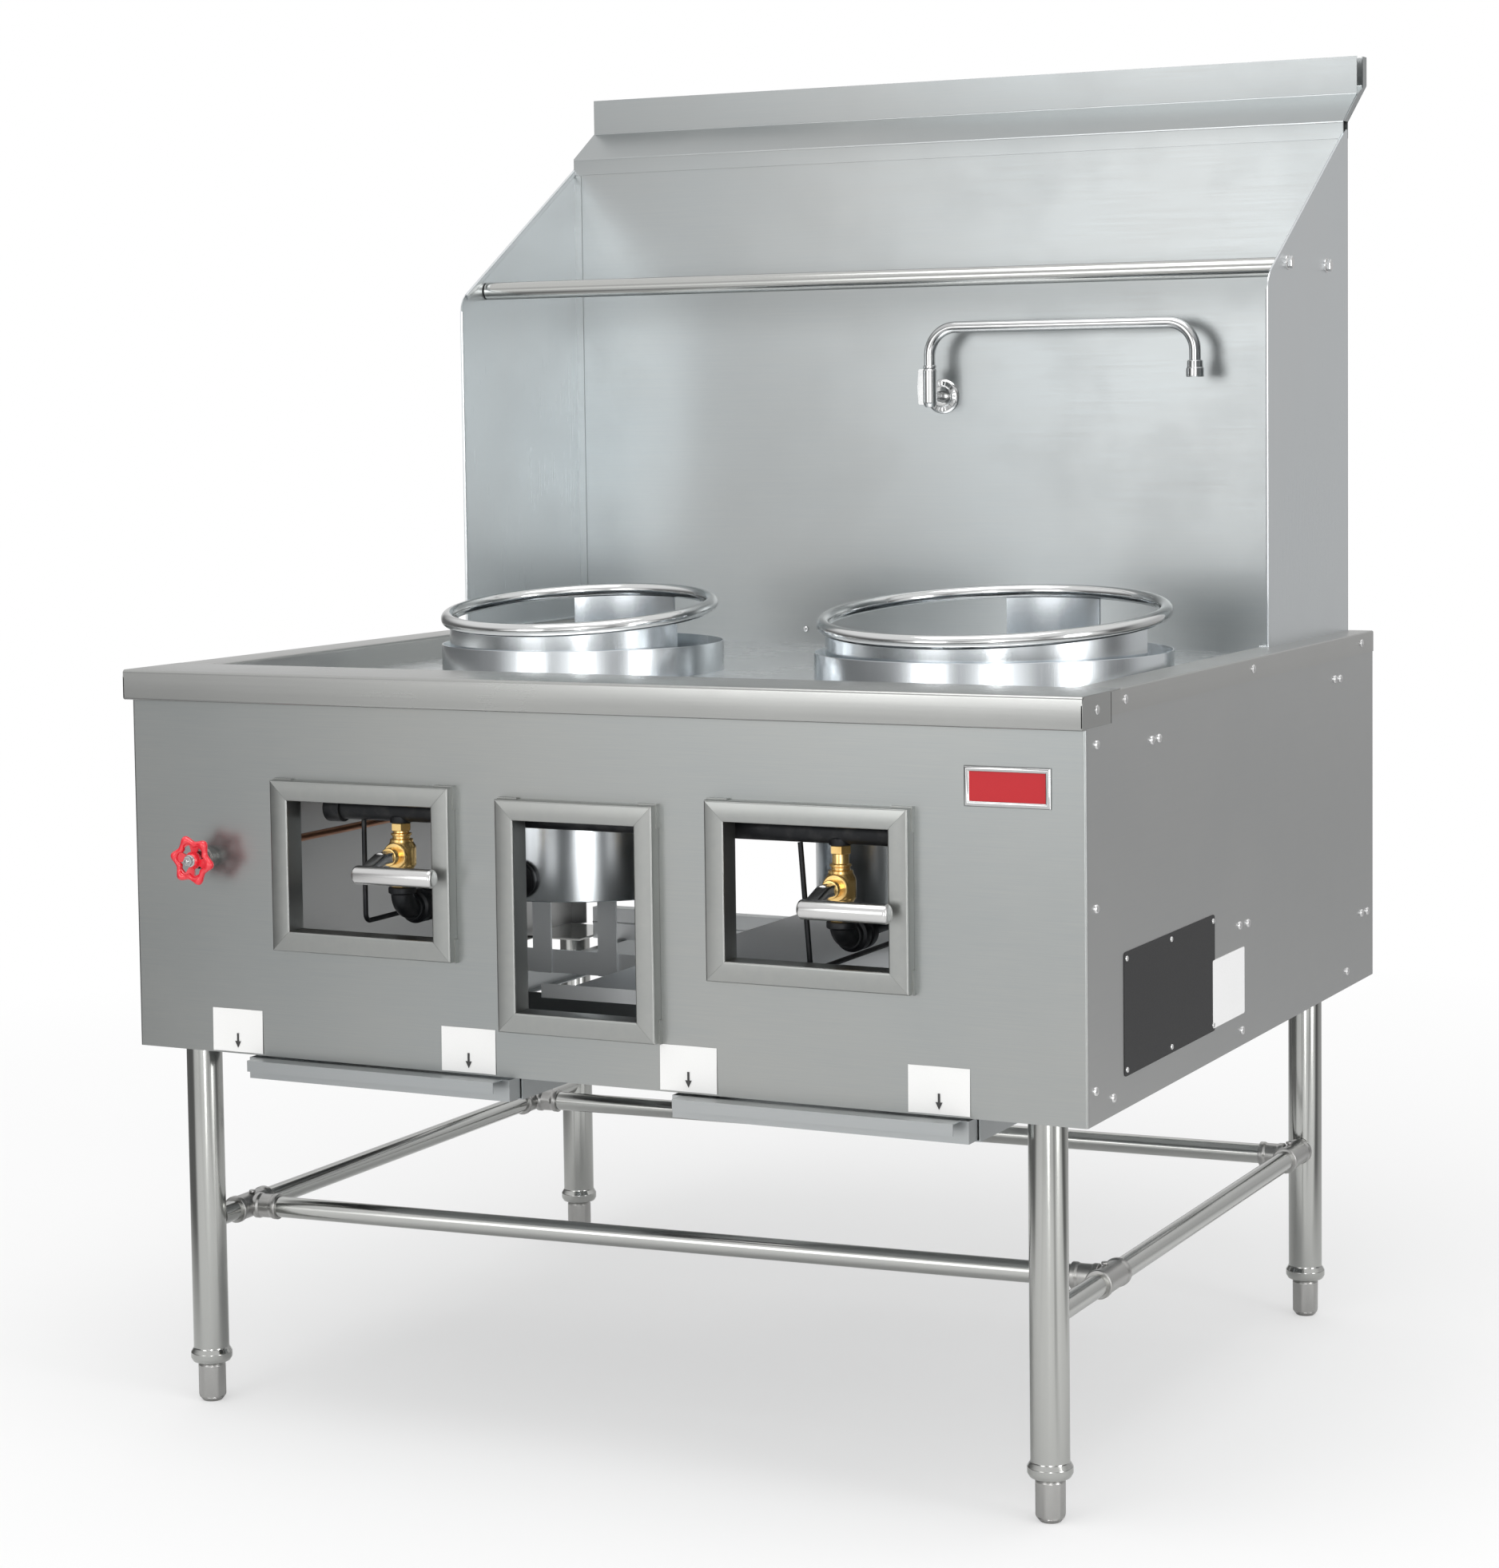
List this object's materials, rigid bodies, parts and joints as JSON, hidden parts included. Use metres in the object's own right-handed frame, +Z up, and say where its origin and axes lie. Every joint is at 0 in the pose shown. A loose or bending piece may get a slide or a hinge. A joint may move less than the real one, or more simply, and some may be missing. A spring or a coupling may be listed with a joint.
{
  "type": "wok range",
  "caption": "Freestanding commercial gas wok range: sheet-steel cabinet on legs, tilted wok rings, lever gas valves, swing spout, flue riser and drip trays.",
  "frame": {"origin": "on the floor under the middle of the bounding box", "axes": "+X to the right seen from the front, -Y to the front (handwheel and windows), +Z up"},
  "size_m": [1.2272, 1.1885, 1.652],
  "materials": {
    "stainless": "brushed sheet",
    "polished_steel": "polished",
    "chrome": "polished plating",
    "black_iron": "black, slightly oily",
    "brass": "turned, bright",
    "copper": "dull drawn tube",
    "red_paint": "gloss enamel"
  },
  "bodies": {
    "range": {"backsplash_panel": "stainless", "burner_left": "black_iron", "burner_pipe_left": "black_iron", "burner_pipe_right": "black_iron", "burner_right": "black_iron", "burner_stands": "stainless", "chamber_left": "stainless", "chamber_right": "stainless", "cooktop_deck": "stainless", "cross_beams": "stainless", "cross_rails": "stainless", "faucet_body": "chrome", "faucet_flange": "chrome", "flue_cap_back": "stainless", "flue_cap_front": "stainless", "front_panel": "stainless", "front_rim": "stainless", "gas_manifold": "black_iron", "gas_valve_left": "brass", "gas_valve_right": "brass", "heat_baffle": "stainless", "left_rim": "stainless", "left_side_panel": "stainless", "left_wing": "stainless", "leg_front_left": "stainless", "leg_front_right": "stainless", "leg_rear_left": "stainless", "leg_rear_right": "stainless", "pilot_tube_left": "black_iron", "pilot_tube_right": "black_iron", "rail_tees": "stainless", "rear_panel": "stainless", "right_rim": "stainless", "right_side_panel": "stainless", "right_wing": "stainless", "riser_back_panel": "stainless", "side_rails": "stainless", "tray_runners_left": "stainless", "tray_runners_right": "stainless", "utensil_rail": "stainless", "water_pipe": "copper", "water_valve": "brass", "window_frame_centre": "stainless", "window_frame_left": "stainless", "window_frame_right": "stainless", "wok_ring_left": "polished_steel", "wok_ring_right": "polished_steel"},
    "valve_lever_left": {"valve_lever_left": "polished_steel"},
    "valve_lever_right": {"valve_lever_right": "polished_steel"},
    "handwheel": {"handwheel": "red_paint", "handwheel_nut": "polished_steel", "water_stem": "polished_steel"},
    "spout": {"faucet_spout": "chrome", "spout_nozzle": "chrome"},
    "drip_tray_left": {"drip_tray_left": "stainless"},
    "drip_tray_right": {"drip_tray_right": "stainless"},
    "foot_front_left": {"foot_front_left": "polished_steel"},
    "foot_front_right": {"foot_front_right": "polished_steel"},
    "foot_rear_left": {"foot_rear_left": "polished_steel"},
    "foot_rear_right": {"foot_rear_right": "polished_steel"}
  },
  "joints": [
    {"name": "valve_lever_left_turn", "type": "hinge", "parent": "range", "child": "valve_lever_left", "pos_m": [-0.261, -0.54325, 0.683], "axis": [0, 1, 0], "range_deg": [0, 90]},
    {"name": "valve_lever_right_turn", "type": "hinge", "parent": "range", "child": "valve_lever_right", "pos_m": [0.3057, -0.54325, 0.6745], "axis": [0, 1, 0], "range_deg": [0, 90]},
    {"name": "handwheel_turn", "type": "hinge", "parent": "range", "child": "handwheel", "pos_m": [-0.5021, -0.57825, 0.6739], "axis": [0, -1, 0], "range_deg": [0, 990]},
    {"name": "spout_swing", "type": "hinge", "parent": "range", "child": "spout", "pos_m": [0.0054, 0.44675, 1.248], "axis": [0, 0, 1], "range_deg": [-180, 0]},
    {"name": "drip_tray_left_slide", "type": "slide", "parent": "range", "child": "drip_tray_left", "axis": [0, -1, 0], "range_m": [0, 0.45]},
    {"name": "drip_tray_right_slide", "type": "slide", "parent": "range", "child": "drip_tray_right", "axis": [0, -1, 0], "range_m": [0, 0.45]},
    {"name": "foot_front_left_level", "type": "slide", "parent": "range", "child": "foot_front_left", "axis": [0, 0, -1], "range_m": [0, 0.025]},
    {"name": "foot_front_right_level", "type": "slide", "parent": "range", "child": "foot_front_right", "axis": [0, 0, -1], "range_m": [0, 0.025]},
    {"name": "foot_rear_left_level", "type": "slide", "parent": "range", "child": "foot_rear_left", "axis": [0, 0, -1], "range_m": [0, 0.025]},
    {"name": "foot_rear_right_level", "type": "slide", "parent": "range", "child": "foot_rear_right", "axis": [0, 0, -1], "range_m": [0, 0.025]}
  ]
}
